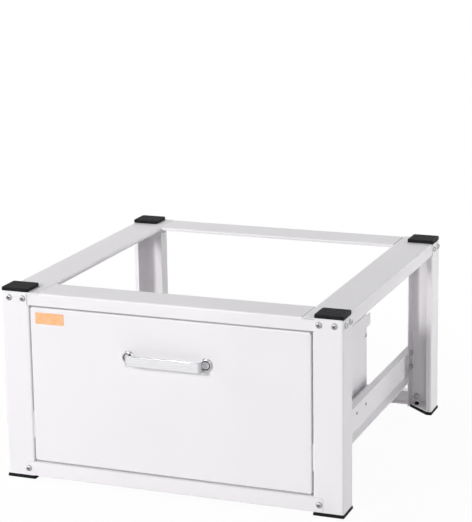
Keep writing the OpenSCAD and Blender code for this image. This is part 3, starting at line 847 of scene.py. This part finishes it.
def strapPath(s):
    # middle line of the strap from the left foot round to the right one, with its outward way
    x, y = s["length"] / 2 - s["thick"] / 2, -s["out"] + s["thick"] / 2
    halfway = (y + s["bend"]) / 2
    turn = [math.pi / 2 * k / s["bendSteps"] for k in range(s["bendSteps"] + 1)]
    points = [((-x, -s["sink"]), (-1, 0)), ((-x, halfway), (-1, 0))]
    for sx in (-1, 1):
        for t in turn if sx < 0 else reversed(turn):
            way = (sx * math.cos(t), -math.sin(t))
            centre = (sx * (x - s["bend"]), y + s["bend"])
            points.append(((centre[0] + way[0] * s["bend"], centre[1] + way[1] * s["bend"]), way))
    return points + [((x, halfway), (1, 0)), ((x, -s["sink"]), (1, 0))]


def strapSection(s):
    # (outwards, up) round the strap, its front face a little crowned between rounded edges
    h, t = s["high"] / 2, s["thick"] / 2
    outline = roundedOutline(rectangle(-t, t, -h, h), s["corner"], s["cornerSteps"])
    heights = [h * (s["crownFrom"] + s["crownStep"] * k) for k in range(s["crownPoints"])]
    place = next(i for i, p in enumerate(outline) if p.x > t - tiny and p.y > 0)
    outline = outline[:place] + [Vector((t, z)) for z in heights] + outline[place:]
    return [(p.x - (s["crown"] * (p.y / h) ** 2 if p.x > 0 else 0), p.y) for p in outline]


def makeHandle(s):
    bm = bmesh.new()
    section = strapSection(s)
    rings = [
        [(p[0] + way[0] * u, frontY + p[1] + way[1] * u, s["z"] + z) for u, z in section]
        for p, way in strapPath(s)
    ]
    loft(bm, rings)
    foot = [(0, 0)]
    foot += [(s["footRadius"] - inwards, out) for inwards, out in s["footRings"]]
    foot += [(s["boss"] - inwards, out) for inwards, out in s["bossRings"]]
    foot += [(0, s["footThick"])]
    # the groove takes the near-black chrome of painted shade, the boss the darker chrome of a
    # painted dimmer reflection
    skin = [0] * 11 + [1] * 3 + [2] * 2  # the foot, its groove and its boss
    for sx in (-1, 1):
        place = towards((sx * s["feet"] / 2, frontY, s["z"]), (0, -1, 0))
        lathe(bm, foot, place, s["footSteps"], skin)
    materials = ["handle_chrome", "grooveShadedChrome", "bossShadedChrome"]
    piece = addPiece("handleStrap", bm, materials, "drawer", s["sharpFrom"])
    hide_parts("handle")


handleScrews = {
    **boltShape, "shank": 0.0020, "head": 0.0040, "headHeight": 0.0026, "turn": 25,
    "recess": 0.0027, "recessDeep": 0.0014, "nutThick": 0.0, "tip": 0.0038, "grip": 0.0,
}


def makeHandleScrews(s):
    bm = bmesh.new()
    for sx in (-1, 1):
        point = (sx * handleShape["feet"] / 2, frontY + stand["drawerSheet"], handleShape["z"])
        addBolt(bm, spun(towards(point, (0, 1, 0)), s["turn"] * sx), s)
    piece = addPiece("handleScrewsThreaded", bm, boltFinish, "drawer")
    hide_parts("handle_screws")


makeHandle(handleShape)
makeHandleScrews(handleScrews)
print("stand: handle and its screws")


# plain orange plate on the drawer front, with a shallow groove inside its rim

plateShape = {
    "left": -0.243, "right": -0.1895, "low": 0.2826, "high": 0.3026,
    "thick": 0.0006, "corner": 0.0012, "cornerSteps": 4, "sharpFrom": 25,
    # (inset, share of the thickness)
    "profile": (
        (0, 0), (0, 0.7), (0.0002, 1), (0.0010, 1), (0.0012, 0.7), (0.0017, 0.7), (0.0019, 0.95),
    ),
}
platePaint = {
    "deep": (0.89, 0.44, 0.18), "pale": (0.93, 0.52, 0.28), "span": (0.3, 0.62),
    "cloudSize": 90.0, "grainSize": 1400.0, "gloss": (0.35, 0.45),
    "bump": 0.2, "depth": 0.00004, "edge": 0.0002,
}


def paintedPlate(name, s):
    material, tree, shader = newMaterial(name)
    point = objectPoint(tree)
    cloud = noiseAt(tree, point, s["cloudSize"])
    colourFrom(tree, shader, cloud, s["deep"], s["pale"], s["span"])
    glossFrom(tree, shader, cloud, s["gloss"])
    bumpFrom(tree, shader, noiseAt(tree, point, s["grainSize"]), s)
    return material


def makePlate(s):
    finish["orangePlate"] = paintedPlate("orangePlate", platePaint)
    bm = bmesh.new()
    corners = rectangle(s["left"], s["right"], s["low"], s["high"])
    rings = []
    for inset, share in s["profile"]:
        ring = ringAt(corners, inset, s["corner"], s["cornerSteps"])
        rings.append([(p.x, frontY - s["thick"] * share, p.y) for p in ring])
    loft(bm, rings)
    addPiece("orangePlate", bm, ["orangePlate"], "drawer", s["sharpFrom"])


makePlate(plateShape)
print("stand: plate on the drawer")


# floor, sky and lamps

studio = {
    "floorSize": 14.0,
    "floorDrop": 0.0002,
    "floorPaint": (0.93, 0.93, 0.93),
    "white": (1, 1, 1, 1),
    "glow": 1.0,
    "glowNear": 0.95,
    "glowSpan": (0.45, 1.10),
    "sky": 1.0,
    "skyOnObject": 0.05,
    "aim": (0, 0, 0.15),
    "lamps": {
        "keyLamp": {"at": (-1.607, -4.415, 1.860), "size": 0.9, "power": 129},
        "frontRightLamp": {"at": (1.986, -4.258, 1.860), "size": 1.6, "power": 31},
        "rightLamp": {"at": (3.451, -0.302, 2.150), "size": 1.6, "power": 8},
        "backLamp": {"at": (1.185, 3.255, 2.150), "size": 1.6, "power": 52},
        "leftLamp": {"at": (-3.702, -0.653, 1.518), "size": 1.6, "power": 50},
        "highLamp": {"at": (-2.2, 0.3, 2.8), "size": 1.6, "power": 28},
        "lowLamp": {"at": (1.3, 0.30, 0.14), "size": 0.25, "power": 3.6},
    },
}


def seenDirectly(tree):
    # 1 for what the camera, a mirror or a glass shows, 0 for light that falls on the object
    path = tree.nodes.new("ShaderNodeLightPath")
    value = path.outputs["Is Camera Ray"]
    for kind in ("Is Glossy Ray", "Is Transmission Ray"):
        value = mathOf(tree, "MAXIMUM", value, path.outputs[kind])
    return value


def floorMaterial(s):
    # the floor turns pure white away from the stand, and keeps its shadow near it
    material = bpy.data.materials.new("studioFloor")
    tree, out = emptyTree(material, "ShaderNodeOutputMaterial")
    paint = tree.nodes.new("ShaderNodeBsdfDiffuse")
    paint.inputs["Color"].default_value = (*s["floorPaint"], 1)
    glow = tree.nodes.new("ShaderNodeEmission")
    glow.inputs["Color"].default_value = s["white"]
    glow.inputs["Strength"].default_value = s["glow"]
    away = tree.nodes.new("ShaderNodeVectorMath")
    away.operation = "LENGTH"
    tree.links.new(objectPoint(tree), away.inputs[0])
    far = rangeOf(tree, away.outputs["Value"], s["glowNear"], 1.0, s["glowSpan"])
    mix = tree.nodes.new("ShaderNodeMixShader")
    tree.links.new(mathOf(tree, "MULTIPLY", seenDirectly(tree), far), mix.inputs["Fac"])
    tree.links.new(paint.outputs[0], mix.inputs[1])
    tree.links.new(glow.outputs[0], mix.inputs[2])
    tree.links.new(mix.outputs[0], out.inputs["Surface"])
    return material


def makeFloor(s):
    bm = bmesh.new()
    bmesh.ops.create_grid(bm, x_segments=2, y_segments=2, size=s["floorSize"] / 2)
    mesh = bpy.data.meshes.new("studioFloor")
    bm.to_mesh(mesh)
    bm.free()
    floor = bpy.data.objects.new("studioFloor", mesh)
    floor.location.z = -s["floorDrop"]
    bpy.context.scene.collection.objects.link(floor)
    mesh.materials.append(floorMaterial(s))


def makeSky(s):
    world = bpy.data.worlds.new("studioSky")
    bpy.context.scene.world = world
    tree, out = emptyTree(world, "ShaderNodeOutputWorld")
    back = tree.nodes.new("ShaderNodeBackground")
    back.inputs["Color"].default_value = s["white"]
    level = rangeOf(tree, seenDirectly(tree), s["skyOnObject"], s["sky"], (0, 1))
    tree.links.new(level, back.inputs["Strength"])
    tree.links.new(back.outputs[0], out.inputs["Surface"])


def makeLamp(name, s, aim):
    data = bpy.data.lights.new(name, "AREA")
    data.shape = "DISK"
    data.size = s["size"]
    data.energy = s["power"]
    lamp = bpy.data.objects.new(name, data)
    bpy.context.scene.collection.objects.link(lamp)
    lamp.location = s["at"]
    lamp.rotation_euler = (Vector(aim) - Vector(s["at"])).to_track_quat("-Z", "Y").to_euler()
    lamp.visible_camera = False


makeFloor(studio)
makeSky(studio)
for name, row in studio["lamps"].items():
    makeLamp(name, row, studio["aim"])
bpy.context.scene.view_settings.view_transform = "Standard"
print("stand: floor, sky and lamps")
